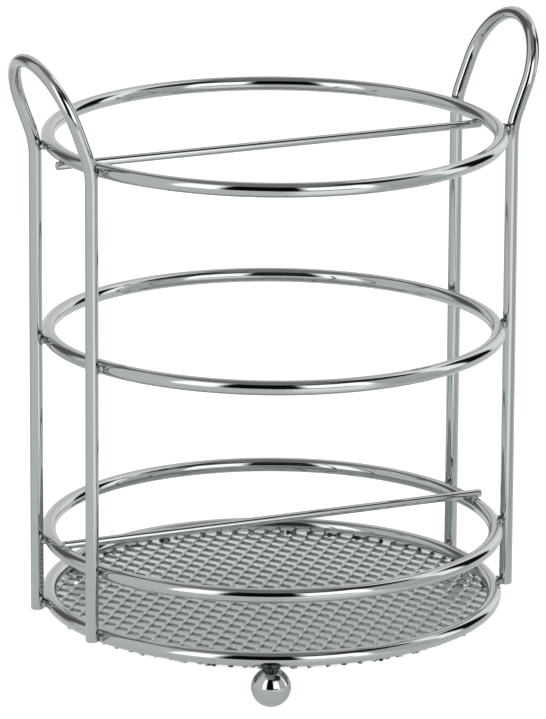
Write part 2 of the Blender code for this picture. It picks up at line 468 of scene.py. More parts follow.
@dataclass(frozen=True)
class DrawnWire:
    """Round wire, bent to a line."""

    diameter: float
    edge_radius: float = 0.00035  # rounding of the cut ends' edges
    sides: int = 40
    spacing: float = 0.0008  # of the outlines along an open wire
    edge_steps: int = 6  # outlines over a rounded edge

    def stations(self, length: float) -> Array:
        """Distances of the outlines along an open wire, close together over its rounded ends.

        Args:
            length: Length of the wire.

        Returns:
            The distances from its first end.
        """
        radius = self.edge_radius
        edge = radius * (1 - np.cos(np.linspace(0, np.pi / 2, self.edge_steps)))
        middle = np.linspace(radius, length - radius, int(length / self.spacing))
        return np.concatenate([edge[:-1], middle, length - edge[::-1][1:]])

    def outlines(self, path: Array, radii: Array, side: Array, closed: bool) -> Array:
        """Carry a circle along a path.

        At each point the circle is the radius times the cosine of the turn towards the side, plus
        the sine of it square to that, both at right angles to the path.

        Args:
            path: Points of the centre line.
            radii: Radius at each point.
            side: Direction, or one for each point, that no stretch of the path runs along.
            closed: Whether the path ends where it starts.

        Returns:
            Rows by columns by three points.
        """
        if closed:
            tangents = unit(np.roll(path, -1, axis=0) - np.roll(path, 1, axis=0))
        else:
            tangents = unit(np.gradient(path, axis=0))
        across = unit(side - np.sum(side * tangents, axis=-1, keepdims=True) * tangents)
        upright = np.cross(tangents, across)
        turns = np.linspace(0, 2 * np.pi, self.sides, endpoint=False)[None, :, None]
        wheel = np.cos(turns) * across[:, None] + np.sin(turns) * upright[:, None]
        return path[:, None] + radii[:, None, None] * wheel

    def open_skin(self, line: Array, side: Array) -> Skin:
        """Skin of a wire with two cut ends.

        The radius falls away over the last stretch as a quarter circle does.

        Args:
            line: Points of the centre line, close together.
            side: Direction that no stretch of the line runs along.

        Returns:
            The wire's surface.
        """
        length = arc_lengths(line)[-1]
        stations = self.stations(length)
        to_end = np.minimum(stations, length - stations)
        inset = np.clip(self.edge_radius - to_end, 0.0, self.edge_radius)
        fall = self.edge_radius - np.sqrt(self.edge_radius**2 - inset**2)
        path = resampled(line, stations)
        return Skin(self.outlines(path, self.diameter / 2 - fall, side, closed=False), stations)

    def closed_skin(self, loop: Array, side: Array) -> Skin:
        """Skin of a wire bent and welded into a loop, where the side is square to the loop."""
        radii = np.full(len(loop), self.diameter / 2)
        return Skin(self.outlines(loop, radii, side, closed=True), arc_lengths(loop), closed=True)


@dataclass(frozen=True)
class Heights:
    """Places that the pieces share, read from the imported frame."""

    rings: dict[Level, float]  # height of each ring's centre line, at its middle
    ring_radius: float  # of that line
    ring_wire: float = 0.0038
    tilt: float = np.radians(-0.8)  # of the middle ring out of level
    tilt_turn: float = np.radians(-24.4)  # direction of the level axis that it is tipped about

    @classmethod
    def from_frame(cls) -> Heights:
        """Measure the rings of the frame.

        Returns:
            The heights and the radius of the four rings.
        """
        heights = {}
        for level in Level:
            low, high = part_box(level.value)
            heights[level] = (low[2] + high[2]) / 2
        return cls(heights, (high[0] - low[0]) / 2 - cls.ring_wire / 2)

    def around(self, angle: float | Array, level: Level) -> Array:
        """Point or points of a ring's centre line.

        The tipped ring's height follows the sine of the angle from its level axis.

        Args:
            angle: Angle or angles, anticlockwise from +X.
            level: The ring.

        Returns:
            One point for each angle.
        """
        angle = np.asarray(angle, dtype=float)
        slope = np.tan(self.tilt) if level is Level.MIDDLE else 0.0
        radius = self.ring_radius
        height = self.rings[level] + radius * slope * np.sin(angle - self.tilt_turn)
        return np.stack([radius * np.cos(angle), radius * np.sin(angle), height], axis=-1)

    def outward(self, loop: Array) -> Array:
        """Directions from the holder's axis to the points of a ring."""
        return loop * LEVEL_PART / self.ring_radius


@dataclass
class Rings:
    """The four hoops of the holder, each bent from one length of wire and butt welded."""

    places: Heights
    steps: int = 288  # outlines round a ring
    sides: int = 40
    wander: float = 0.00012  # how far a hand-set hoop strays from its true line
    waves: tuple[int, int, int] = (2, 5, 3)  # of the radius, slow and quick, and of the height
    shares: Triple = (0.5, 0.6, 0.4)  # of the quick wave, radius and height
    seeds: tuple[float, ...] = (0.4, 1.9, 3.3, 5.0)  # from the base up
    butt_angle: float = np.radians(255.3)  # where the base ring's ends meet
    butt_width: float = 0.00018  # half the length of the flash round that joint
    butt_height: float = 0.00005  # how far the flash stands proud
    butt_depth: float = 1.2  # how far its ends lie inside the wire, in its heights
    butt_steps: int = 9

    def line(self, level: Level, seed: float) -> Array:
        """Centre line of a hoop: a circle whose radius and height stray as a few slow waves.

        The radius strays as the square of the cosine, so the hoops keep their size from front to
        back.

        Args:
            level: The ring.
            seed: Shift of the waves.

        Returns:
            Points round the hoop, each once.
        """
        angle = np.linspace(0, 2 * np.pi, self.steps, endpoint=False)
        loop = self.places.around(angle, level)
        slow, quick, rise = self.waves
        quick_share, radius_share, height_share = self.shares
        stray = np.sin(slow * angle + seed) + quick_share * np.sin(quick * angle + 2 * seed)
        stray = radius_share * (stray * np.cos(angle) ** 2)[:, None] * self.places.outward(loop)
        lift = height_share * np.sin(rise * angle + rise * seed)[:, None] * UP
        return loop + self.wander * (stray + lift)

    def build(self) -> None:
        """Make and dress the four rings, and the butt weld of the base ring."""
        wire = DrawnWire(self.places.ring_wire, sides=self.sides)
        for level, seed in zip(Level, self.seeds):
            loop = self.line(level, seed)
            skin = wire.closed_skin(loop, self.places.outward(loop))
            piece = mesh_of_skins(level.value.replace("ring", "hoop"), [skin])
            dress(piece, WIRE_CHROME, level.value)
        self.build_butt_weld(wire)

    def build_butt_weld(self, wire: DrawnWire) -> None:
        """Make the low ridge of flash where the base ring's two ends were butted together.

        Its height over the wire is the flash's height times the sine of half a turn along it. It is
        raised by that height too, so that it was ground away below and shows on top.

        Args:
            wire: Wire of the rings.
        """
        reach = self.butt_width / self.places.ring_radius
        angle = self.butt_angle + np.linspace(-reach, reach, self.butt_steps)
        path = self.places.around(angle, Level.BASE) + [0, 0, self.butt_height]
        swell = np.sin(np.linspace(0, np.pi, self.butt_steps))
        radii = self.places.ring_wire / 2 - self.butt_height * (self.butt_depth - swell)
        rings = wire.outlines(path, radii, unit(path * LEVEL_PART), closed=False)
        piece = mesh_of_skins("base_hoop_butt_weld", [Skin(rings, arc_lengths(path))])
        dress(piece, WELD_SCALE_AND_SHADE)


@dataclass
class HandleFrames:
    """The two frames, each one wire bent into two uprights and a loop that leans outwards."""

    places: Heights
    wire: float = 0.0034
    sides: int = 36
    spacing: float = 0.0007  # of the outlines along the wire
    joint_gap: float = 0.0003  # that the solids keep between upright and ring
    spread: float = 0.0336  # between the two uprights
    tail: float = 0.0018  # reach of an upright below the base ring's centre line
    lean: float = np.radians(20.4)  # of the loop from upright
    lean_drop: float = 0.0030  # depth of its start below the rim ring's centre line
    bend_radius: float = 0.0210  # of the bend into the lean
    leg: float = 0.0147  # wire from the start of the lean to the crest
    crest: float = 0.01578  # rise of the half-round crest
    steps: tuple[int, int, int] = (400, 200, 600)  # points of an upright, a leg and the crest
    wander: float = 0.00005  # how far the wire strays from its true line
    wave_length: float = 0.045  # of wire for each radian of the stray outwards
    second_wave: float = 1.3  # how much quicker it strays sideways
    inward: float = 1.8  # share of the wander by which the wire stands inwards
    seeds: Pair = (0.7, 2.2)  # of the first frame, and the step to the next
    names: tuple[str, str] = ("right", "left")
    turns: Pair = (np.radians(-0.5), np.radians(182.3))  # from +X, anticlockwise
    trims: tuple[Pair, ...] = ((0.0, 0.0012), (0.0008, 0.0))  # off the cut ends

    def distance(self) -> float:
        """Distance from the holder's axis to the plane of a frame's two uprights."""
        radius = self.places.ring_radius + self.places.ring_wire / 2 + self.joint_gap
        return float(np.sqrt((radius + self.wire / 2) ** 2 - (self.spread / 2) ** 2))

    def upright_angles(self) -> list[float]:
        """Angles of all uprights round the holder, frame by frame."""
        aside = float(np.arctan2(self.spread / 2, self.distance()))
        return [turn + side * aside for turn in self.turns for side in (1, -1)]

    def leaning(self, length: Array, side: Array) -> Array:
        """Points above the start of the lean: an arc of the bend radius, then a straight slope.

        Args:
            length: Lengths of wire above the start of the lean.
            side: Distances from the frame's middle plane.

        Returns:
            One point for each pair of values.
        """
        arc = np.minimum(length, self.bend_radius * self.lean)
        angle = arc / self.bend_radius
        rest = length - arc
        out = self.bend_radius * (1 - np.cos(angle)) + rest * np.sin(angle)
        up = self.bend_radius * np.sin(angle) + rest * np.cos(angle)
        start = self.places.rings[Level.RIM] - self.lean_drop
        return np.stack([self.distance() + out, side + np.zeros_like(out), start + up], axis=-1)

    def line(self, seed: float) -> Array:
        """Centre line from one cut end over the loop to the other.

        The crest is half an ellipse. The line strays in two slow waves along its length, and only
        inwards, so that the frame keeps its reach.

        Args:
            seed: Shift of the waves.

        Returns:
            Points of the line, close together.
        """
        half = self.spread / 2
        foot = self.places.rings[Level.BASE] - self.tail
        start = self.places.rings[Level.RIM] - self.lean_drop
        risers, treads, bows = self.steps
        heights = np.linspace(foot, start, risers, endpoint=False)
        upright = np.stack([np.full(risers, self.distance()), np.full(risers, half), heights], -1)
        leg = self.leaning(np.linspace(0, self.leg, treads, endpoint=False), np.array(half))
        turn = np.linspace(0, np.pi, bows, endpoint=False)
        crest = self.leaning(self.leg + self.crest * np.sin(turn), half * np.cos(turn))
        up = np.concatenate([upright, leg])
        top = self.leaning(np.array([self.leg]), np.array([-half]))
        line = np.concatenate([up, crest, top, (up * [1, -1, 1])[::-1]])
        wave = arc_lengths(line) / self.wave_length
        out = np.sin(wave + seed) - self.inward
        aside = np.sin(self.second_wave * wave + 2 * seed)
        return line + self.wander * np.stack([out, aside, np.zeros_like(wave)], axis=-1)

    def build(self) -> None:
        """Make and dress both frames, each turned about the holder's axis to where it stands."""
        wire = DrawnWire(self.wire, sides=self.sides, spacing=self.spacing)
        first_seed, seed_step = self.seeds
        for number, (name, turn, trim) in enumerate(zip(self.names, self.turns, self.trims)):
            line = self.line(first_seed + seed_step * number)
            lengths = arc_lengths(line)
            line = line[(lengths >= trim[0]) & (lengths <= lengths[-1] - trim[1])]
            skin = wire.open_skin(turned(line, turn), np.array([np.cos(turn), np.sin(turn), 0.0]))
            piece = mesh_of_skins(f"{name}_handle_wire", [skin])
            dress(piece, WIRE_CHROME, f"{name}_handle_frame")


@dataclass
class DividerRods:
    """Two thin rods across the holder, one below the rim ring and one on the guard ring."""

    wire: float = 0.0022
    edge_radius: float = 0.00025  # rounding of the cut ends
    sides: int = 32
    steps: int = 300  # points along a rod
    bite: float = 0.0009  # how far the weld pressed each rod towards its ring

    def build(self) -> None:
        """Make and dress the two rods where the frame has them, pressed into their rings."""
        wire = DrawnWire(self.wire, edge_radius=self.edge_radius, sides=self.sides)
        for name, _, above in RODS:
            low, high = (np.array(corner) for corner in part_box(name))
            middle = (low + high) / 2 - above * self.bite * UP
            ends = [np.array([corner[0], middle[1], middle[2]]) for corner in (low, high)]
            skin = wire.open_skin(np.linspace(*ends, self.steps), UP)
            dress(mesh_of_skins(name.replace("rod", "wire"), [skin]), WIRE_CHROME, name)


@dataclass
class WeldBeads:
    """Metal squeezed out where wires cross and were pressed and welded together.

    A dark lump lies in the crevice between a ring and an upright, with a bright nugget at each end.
    Its dark finish is partly weld scale and partly painted shade of the crevice.
    """

    places: Heights
    frames: HandleFrames
    half_sizes: Triple = (0.0016, 0.0006, 0.0010)  # along, outwards and up
    nugget: Triple = (0.0007, 0.0008, 0.0008)  # the same
    nugget_offset: float = 0.0016  # from the crossing, along the ring
    nugget_lift: float = 0.0003  # above or below it, at most
    rod_bead: Triple = (0.0013, 0.0014, 0.0007)  # along the rod, across, up
    lumps_share: float = 0.22  # height of the waves, as a share of a bead's radius
    grid: tuple[int, int] = (20, 28)  # rows and columns of faces on a bead
    seeds: Pair = (1.7, 2.9)  # steps by upright, and by the ring's height
    rod_seeds: Pair = (4.1, 2.2)  # steps by end of a rod, and by rod

    def build(self) -> None:
        """Make and dress the beads at every crossing of an upright and a ring, and at the rods."""
        contact = self.places.ring_wire / 2 + self.frames.joint_gap / 2
        for level in Level:
            # scaled: dark lumps in the crevices, partly weld scale and partly painted shade
            scaled, bright = [], []
            rise = self.seeds[1] * self.places.rings[level] / self.places.ring_radius
            for number, angle in enumerate(self.frames.upright_angles()):
                outward = np.array([np.cos(angle), np.sin(angle), 0.0])
                along = np.cross(UP, outward)
                centre = self.places.around(angle, level) + contact * outward
                axes = np.stack([along, outward, UP])
                seed = self.seeds[0] * number + rise
                scaled.append(self.bead(centre, axes, self.half_sizes, seed))
                lift = self.nugget_lift * np.sin(seed) * UP
                for side in (-1, 1):
                    beside = centre + side * self.nugget_offset * along + lift
                    bright.append(self.bead(beside, axes, self.nugget, seed + side))
            dress(mesh_of_skins(f"{level.value}_weld_scale_and_shade", scaled), WELD_SCALE_AND_SHADE)
            dress(mesh_of_skins(f"{level.value}_weld_nuggets", bright), WELD_CHROME)
        for name, level, above in RODS:
            skins = []
            for number, side in enumerate((-1, 1)):
                centre = self.places.around(0.0, level) * [side, 0, 1]
                centre += above * self.places.ring_wire / 2 * UP
                seed = self.rod_seeds[0] * number + self.rod_seeds[1] * above
                skins.append(self.bead(centre, np.eye(3), self.rod_bead, seed))
            dress(mesh_of_skins(f"{name}_weld_beads", skins), WELD_CHROME)

    def bead(self, centre: Array, axes: Array, sizes: Triple, seed: float) -> Skin:
        """Skin of one bead, as lump gives it."""
        return lump(centre, axes, np.array(sizes), self.lumps_share, seed, self.grid)


@dataclass
class ExpandedBase:
    """Expanded metal: sheet slit in rows and stretched, so that its strands part in a zigzag.

    Each strand is a strip that runs the long way in a zigzag. It meets the strand before it and
    the one after it by turns, at bonds where the two lie edge to edge in one slope. A bond's right
    half stands a little lower than its left half. A strand's cut ends are tacked to the base ring.
    """

    places: Heights
    short_way: float = 0.00442  # between bonds across the strands
    long_way: float = 0.00880  # between bonds along them
    strand: float = 0.00050  # width of a strand
    sheet: float = 0.00095  # its thickness
    bond: float = 0.0012  # length over which two strands stay joined
    tilt: float = np.radians(8)  # of the strands' faces from level
    turn: float = np.radians(77.8)  # of the long way, anticlockwise from +X
    radius: float = 0.0584  # of the cut edge
    ragged: float = 0.0009  # how far inside it the cut may fall
    drop: float = 0.00200  # of the panel's edge below the base ring's centre line
    crown: float = 0.0005  # rise of the panel towards its middle
    chamfer: float = 0.00012  # breadth of the strand's broken edges
    flare: int = 8  # a bond's extra width goes in the first of this many parts of a crossing
    samples: int = 18  # outlines from bond to bond
    least_samples: int = 4  # fewest in a stretch that is kept
    ease_share: float = 0.9  # how far a crossing is eased
    crease: float = np.radians(35)  # angle over which an edge looks sharp
    seed: int = 7
    tack: Triple = (0.00085, 0.00080, 0.00058)  # half size across, along, up
    tack_spread: Pair = (0.65, 1.1)  # shares of that size, least and greatest
    tack_drop: float = 0.00215  # of the tacks below the base ring's centre line
    tack_radius: float = 0.0573  # distance of the tacks from the holder's axis
    tack_stray: float = 0.0003  # how far they stray from that
    tacked_share: float = 0.85  # of the cut ends
    # Share of the tacks that are dark: partly weld scale, partly painted shade under the base ring
    scale_and_shade_share: float = 0.5  # of the tacks
    tack_lumps: float = 0.25  # height of the waves, as a share of a tack's radius
    tack_grid: tuple[int, int] = (9, 14)

    def climb(self, along: Array, number: int) -> Array:
        """How far a strand has crossed from its left bonds, at 0, to its right ones, at 1.

        The strand dwells at each bond, then crosses on a line whose two ends are eased.

        Args:
            along: Distances the long way.
            number: Number of the strand, counted the short way.

        Returns:
            The share of the crossing at each distance.
        """
        half = self.long_way / 2
        phase = (along / half + number) % 2
        travelled = np.minimum(phase, 2 - phase) * half
        run = np.clip((travelled - self.bond / 2) / (half - self.bond), 0, 1)
        return mixed(run, eased(run), self.ease_share)

    def strand_rings(self, along: Array, number: int) -> Array:
        """Outlines of a strand: its section, an eight-sided strip, carried along the zigzag.

        Args:
            along: Distances the long way.
            number: Number of the strand, counted the short way.

        Returns:
            Rows by eight by three points, with the panel's middle at the origin.
        """
        climb = self.climb(along, number)
        pitch = self.short_way / 2
        width = np.array([np.cos(self.tilt), -np.sin(self.tilt)])
        face = np.array([np.sin(self.tilt), np.cos(self.tilt)])
        seat = self.strand / 2 * width
        middle = np.array([number * pitch, 0.0]) + seat + climb[:, None] * ([pitch, 0.0] - 2 * seat)
        left = self.strand / 2 + self.chamfer * np.clip(1 - self.flare * climb, 0, 1)
        right = self.strand / 2 + self.chamfer * np.clip(self.flare * climb - self.flare + 1, 0, 1)
        deep, edge = self.sheet / 2, self.chamfer
        upper = [(right, deep - edge), (right - edge, deep)]
        upper += [(edge - left, deep), (-left, deep - edge)]
        lower = [(across, -depth) for across, depth in upper[::-1]]
        corners = [*upper[1:], *lower, upper[0]]
        section = np.stack([w[:, None] * width + d * face for w, d in corners], axis=1)
        flat = middle[:, None] + section
        return np.stack([flat[..., 0], along[:, None] + 0 * flat[..., 0], flat[..., 1]], axis=-1)

    def strand_skins(self, number: int, rng: np.random.Generator) -> list[Skin]:
        """Skins of one strand's stretches inside the cut edge.

        Args:
            number: Number of the strand, counted the short way.
            rng: Source of the cut's unevenness.

        Returns:
            One skin for each stretch.
        """
        spacing = self.long_way / self.samples
        count = int(self.radius / spacing) + 1
        along = np.arange(-count, count + 1) * spacing
        rings = self.strand_rings(along, number)
        middles = rings.mean(axis=1)
        inside = np.hypot(*middles[:, :2].T) < self.radius - self.ragged * rng.random()
        edges = np.flatnonzero(np.diff(np.concatenate([[0], inside.astype(int), [0]])))
        stretches = edges.reshape(-1, 2)
        return [Skin(rings[a:b], along[a:b]) for a, b in stretches if b - a >= self.least_samples]

    def build(self) -> None:
        """Make and dress the panel, turned and set below the base ring, with its crown."""
        rng = np.random.default_rng(self.seed)
        last = int(2 * self.radius / self.short_way) + 1
        numbers = range(-last, last + 1)
        skins = [skin for number in numbers for skin in self.strand_skins(number, rng)]
        height = self.places.rings[Level.BASE] - self.drop
        for skin in skins:
            away = (skin.rings[..., 0] ** 2 + skin.rings[..., 1] ** 2) / self.radius**2
            skin.rings[..., 2] += height + self.crown * (1 - away)
            skin.rings = turned(skin.rings, self.turn - np.pi / 2)[:, ::-1]
        piece = mesh_of_skins("expanded_metal_base", skins)
        piece.data.set_sharp_from_angle(angle=self.crease)
        dress(piece, SHEET_CHROME, "base_mesh_panel")
        self.build_tacks(skins, rng)

    def build_tacks(self, skins: list[Skin], rng: np.random.Generator) -> None:
        """Make and dress the tack welds below the base ring, at most of the cut ends.

        Args:
            skins: The strands, whose first and last outlines are the cut ends.
            rng: Source of the tacks' places, sizes and lumps.
        """
        ends = np.array([skin.rings[row].mean(axis=0) for skin in skins for row in (0, -1)])
        # scaled: the dark tacks, partly weld scale and partly painted shade under the base ring
        bright, scaled = [], []
        for end in ends[rng.random(len(ends)) < self.tacked_share]:
            outward = unit(end * LEVEL_PART)
            centre = outward * (self.tack_radius + self.tack_stray * rng.standard_normal())
            centre[2] = self.places.rings[Level.BASE] - self.tack_drop
            axes = np.stack([outward, np.cross(UP, outward), UP])
            sizes = np.array(self.tack) * rng.uniform(*self.tack_spread, 3)
            tacks = scaled if rng.random() < self.scale_and_shade_share else bright
            seed = float(rng.uniform(0, 6))
            tacks.append(lump(centre, axes, sizes, self.tack_lumps, seed, self.tack_grid))
        dress(mesh_of_skins("expanded_metal_bright_tacks", bright), WELD_CHROME)
        dress(mesh_of_skins("expanded_metal_scale_and_shade_tacks", scaled), WELD_SCALE_AND_SHADE)


@dataclass
class BallFeet:
    """Three polished balls, each joined to the base ring by a dark weld: partly scale, partly
    painted shade.
    """

    places: Heights
    nodes: tuple[str, ...] = ("ball_foot_front", "ball_foot_right", "ball_foot_rear")
    flat: float = 0.0012  # radius of the flat on which a ball stands
    pole_gap: float = 0.02  # angle left open at a ball's top, inside its weld
    collar: float = 0.0021  # radius of the weld on the ball
    collar_sink: float = 0.0003  # how far it runs down into the ball
    flare: float = 0.0030  # its radius where it meets the ring
    flare_share: float = 0.6  # depth of that below the ring's centre line, in radii of the wire
    steps: int = 64  # faces round a ball
    rows: tuple[int, int] = (48, 16)  # outlines up a ball, and up its weld
    lumps: Triple = (0.06, 0.05, 0.04)  # of three waves, in radii of the weld
    waves: tuple[int, int, int, int] = (3, 7, 5, 9)  # round the weld, and the last one's up it
    seed_step: float = 1.3  # from foot to foot

    def revolved(self, profile: Array, centre: Array) -> Skin:
        """Turn a profile of radius and height about an upright axis.

        Args:
            profile: Radius and height of each row, from the bottom up.
            centre: Point on the floor below the axis.

        Returns:
            The turned surface.
        """
        turn = np.linspace(0, 2 * np.pi, self.steps, endpoint=False)
        x = profile[:, :1] * np.cos(turn) + centre[0]
        y = profile[:, :1] * np.sin(turn) + centre[1]
        z = profile[:, 1:] + 0 * turn
        return Skin(np.stack([x, y, z], axis=-1), arc_lengths(np.pad(profile, ((0, 0), (0, 1)))))

    def ball_profile(self, radius: float, height: float) -> Array:
        """Profile of the ball, from its flat to its pole: a circle about its centre's height."""
        angle = np.linspace(np.arcsin(self.flat / radius), np.pi - self.pole_gap, self.rows[0])
        return np.stack([radius * np.sin(angle), height - radius * np.cos(angle)], axis=-1)

    def weld_skin(self, centre: Array, ball: float, radius: float, seed: float) -> Skin:
        """Weld collar: its radius swells from ball to ring as the square of its rise, with lumps.

        Args:
            centre: Point on the floor below the foot.
            ball: Height of the ball's centre.
            radius: Radius of the ball.
            seed: Shift of the lumps.

        Returns:
            The collar's surface.
        """
        low = ball + np.sqrt(radius**2 - self.collar**2) - self.collar_sink
        high = self.places.rings[Level.BASE] - self.flare_share * self.places.ring_wire / 2
        share = np.linspace(0, 1, self.rows[1])
        waist = self.collar + (self.flare - self.collar) * share**2
        skin = self.revolved(np.stack([waist, low + (high - low) * share], axis=-1), centre)
        turn = np.linspace(0, 2 * np.pi, self.steps, endpoint=False)
        slow, quick, twisted, climbing = self.waves
        lumps = self.lumps[0] * np.sin(slow * turn + seed)
        lumps = lumps + self.lumps[1] * np.sin(quick * turn + 2 * seed)
        lumps = lumps[None, :] * np.sin(np.pi * share)[:, None]
        lumps += self.lumps[2] * np.sin(twisted * turn + climbing * share[:, None] + seed)
        skin.rings += (skin.rings - centre) * LEVEL_PART * lumps[..., None]
        return skin

    def build(self) -> None:
        """Make and dress each ball and its weld where the frame has the foot."""
        for number, node in enumerate(self.nodes):
            low, high = (np.array(corner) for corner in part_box(node))
            radius = (high[0] - low[0]) / 2
            height = float(np.sqrt(radius**2 - self.flat**2))
            centre = (low + high) / 2 * LEVEL_PART
            ball = self.revolved(self.ball_profile(radius, height), centre)
            piece = mesh_of_skins(node.replace("foot", "shell"), [ball])
            dress(piece, BALL_CHROME, node)
            weld = self.weld_skin(centre, height, radius, self.seed_step * number)
            piece = mesh_of_skins(node.replace("ball_foot", "foot_weld"), [weld])
            dress(piece, WELD_SCALE_AND_SHADE)


@dataclass(frozen=True)
class TentCard:
    """One card or cloth of the light tent, with soft edges, as the holder sees it."""

    name: str
    azimuth: Pair  # its two sides, in degrees to the right of the camera
    elevation: Pair  # its lower and upper edge, in degrees
    level: float  # how bright it is, where 1 is white
    blur: Pair  # degrees over which it fades at its sides, and above and below

    def cover(self, azimuth: Array, elevation: Array) -> Array:
        """How far the card covers what hangs behind it: a smooth step over each of its edges.

        Args:
            azimuth: Degrees to the right of the camera.
            elevation: Degrees above level.

        Returns:
            The share of cover at each direction, from 0 outside to 1 inside.
        """
        middle, reach = sum(self.azimuth) / 2, (self.azimuth[1] - self.azimuth[0]) / 2
        aside = np.abs((azimuth - middle + 180) % 360 - 180)
        inward = [
            (reach - aside) / self.blur[0],
            (elevation - self.elevation[0]) / self.blur[1],
            (self.elevation[1] - elevation) / self.blur[1],
        ]
        return np.prod([eased(share + 0.5) for share in inward], axis=0)


@dataclass
class Studio:
    """Floor, light tent, world and camera of the photograph."""

    azimuth: float = -24.4  # of the camera round the holder, in degrees
    elevation: float = 15.6  # of the camera above level, in degrees
    roll: float = 0.35  # of the camera about its view, in degrees
    distance: float = 1.660  # of the camera from the point that it looks at
    aim_height: float = 0.07455  # of that point, on the holder's axis
    focal_length: float = 321.95  # in millimetres
    sensor: float = 36.0  # its longer side, in millimetres
    tent_radius: float = 1.5
    tent_steps: tuple[int, int] = (360, 90)  # faces round the tent and floor, and up the tent
    tent_foot: float = -0.5  # elevation of its lower edge, in degrees
    floor_drop: float = 0.00002  # below the feet
    floor_radii: tuple[float, float, int] = (0.004, 0.116, 57)  # rings: first, last and number
    far_radii: tuple[float, ...] = (
        0.16, 0.22, 0.3, 0.45, 0.5, 0.55, 0.6, 0.65, 0.7, 0.8, 0.9, 1.0, 1.2, 2.4, 5.0
    )
    floor_colour: str = "#C0C5C2"
    floor_white: float = 0.85  # added where the camera sees the floor
    floor_glow: float = 0.50  # added where metal shows it
    # Painted shade on the floor below the holder, as metal shows it
    painted_shade_glow: float = 0.30  # the same below the holder
    painted_shade_edge: Pair = (0.045, 0.017)  # radius where that ends, and over what
    pool_edge: Pair = (0.07, 0.10)  # radius where the pools begin, and over what
    pool_height: float = 0.145  # of the place from which they have the directions that they say
    # The soft shade here is painted into the floor's white, behind the holder, not cast
    shade_shift: float = 0.0385  # of the holder's soft shade, backwards from its axis
    shade_radii: Pair = (0.0597, 0.0655)  # half widths, sideways and backwards
    shade_edge: float = 0.10  # breadth of its soft edge, as a share of them
    shade_white: Pair = (0.17, 0.26)  # added at its front and at its back
    world_level: float = 0.75  # light of the world on what isn't metal
    cloth_level: float = 1.0  # glow of the tent where no card hangs
    cards: tuple[TentCard, ...] = (  # each laid over the ones before it
        TentCard("left_wall", (-108, -48), (-20, 100), 0.90, (10, 8)),
        TentCard("right_wall", (46, 104), (-20, 100), 0.75, (8, 8)),
        TentCard("back_left_wall", (-190, -140), (-20, 100), 0.85, (12, 8)),
        TentCard("back_right_glow", (127, 152), (-20, 50), 1.25, (8, 8)),
        TentCard("ceiling", (-200, 200), (60, 130), 0.29, (6, 16)),
        TentCard("right_eave", (48, 104), (44, 130), 0.34, (8, 12)),
        TentCard("left_softbox", (-49, -20), (-20, 50), 2.3, (5, 12)),
        TentCard("right_softbox", (9, 49), (-20, 45), 2.3, (5, 12)),
        TentCard("camera_gap", (-26, 15), (-20, 60), 0.005, (8, 9)),
        TentCard("dark_doorway", (-146, -114), (-20, 64), 0.16, (12, 8)),
        TentCard("lamp_foot_gap", (0, 40), (-20, 5), 0.0, (6, 4)),
        TentCard("dark_beam", (16, 52), (46, 62), 0.05, (10, 10)),
        TentCard("right_dark_beam", (50, 101), (42, 74), 0.03, (6, 10)),
        TentCard("right_high_lamp", (103, 140), (42, 72), 1.5, (6, 8)),
        TentCard("right_lamp_strip", (89, 105), (-20, 46), 1.7, (5, 8)),
        TentCard("black_flag", (107, 132), (-20, 43), 0.01, (4, 8)),
    )
    # Painted pools of light and shade on the floor, as metal shows it
    pools: tuple[TentCard, ...] = (  # the same on the floor further out
        TentCard("right_pool", (9, 46), (-90, 10), 1.05, (14, 8)),
        TentCard("right_shade", (52, 98), (-90, 10), 0.26, (10, 8)),
        TentCard("left_shade", (-128, -92), (-90, 10), 0.28, (12, 8)),
        TentCard("far_gap", (0, 42), (-13, 10), 0.0, (6, 4)),
    )

    def build(self) -> None:
        """Set the view, then make the floor, tent, world and camera."""
        bpy.context.scene.view_settings.view_transform = "Standard"
        self.build_floor()
        self.build_tent()
        self.build_world()
        self.build_camera()

    @staticmethod
    def layered(
        base: float, cards: tuple[TentCard, ...], azimuth: Array, elevation: Array
    ) -> Array:
        """Level where cards hang one over another.

        Args:
            base: Level where no card hangs.
            cards: The cards, from the hindmost forward.
            azimuth: Degrees to the right of the camera.
            elevation: Degrees above level.

        Returns:
            The level in each direction.
        """
        level = np.full(azimuth.shape, base)
        for card in cards:
            level = mixed(level, card.level, card.cover(azimuth, elevation))
        return level

    @staticmethod
    def round_mesh(
        name: str, points: Array, levels: dict[str, Array], cap: bool
    ) -> bpy.types.Object:
        """Object over a grid of points that runs round the holder, with numbers at its points.

        Args:
            name: Name of the object.
            points: Rows by columns by three points.
            levels: Named numbers, one for each point.
            cap: Whether a face closes the first row.

        Returns:
            The object, whose faces look down or inwards as the rows run outwards or up.
        """
        rows, columns = points.shape[:2]
        faces = grid_quads(rows, columns)[:, [0, 3, 2, 1]].tolist()
        if cap:
            faces.append(list(range(columns)))
        mesh = bpy.data.meshes.new(name)
        mesh.from_pydata(points.reshape(-1, 3).tolist(), [], faces)
        for key, values in levels.items():
            layer = mesh.attributes.new(key, "FLOAT", "POINT")
            layer.data.foreach_set("value", values.astype(np.float32).ravel())
        return placed(name, mesh)

    def shaded_white(self, points: Array) -> Array:
        """White of the floor straight from the camera: less within a painted soft shade behind the
        holder.

        The shade is painted: an oval that lies backwards from the holder. Its edge rises as a smooth
        step, and its white grows evenly from the holder's axis to its back.

        Args:
            points: Points of the floor.

        Returns:
            The white at each point.
        """
        turn = np.radians(self.azimuth)
        backwards = -np.array([np.sin(turn), -np.cos(turn)])
        place = points[..., :2] @ backwards
        aside = points[..., :2] @ np.array([backwards[1], -backwards[0]])
        sideways, length = self.shade_radii
        away = np.hypot(aside / sideways, (place - self.shade_shift) / length)
        front, back = self.shade_white
        within = front + (back - front) * np.clip(place / length, 0, 1)
        return mixed(within, self.floor_white, eased((away - 1) / self.shade_edge + 0.5))

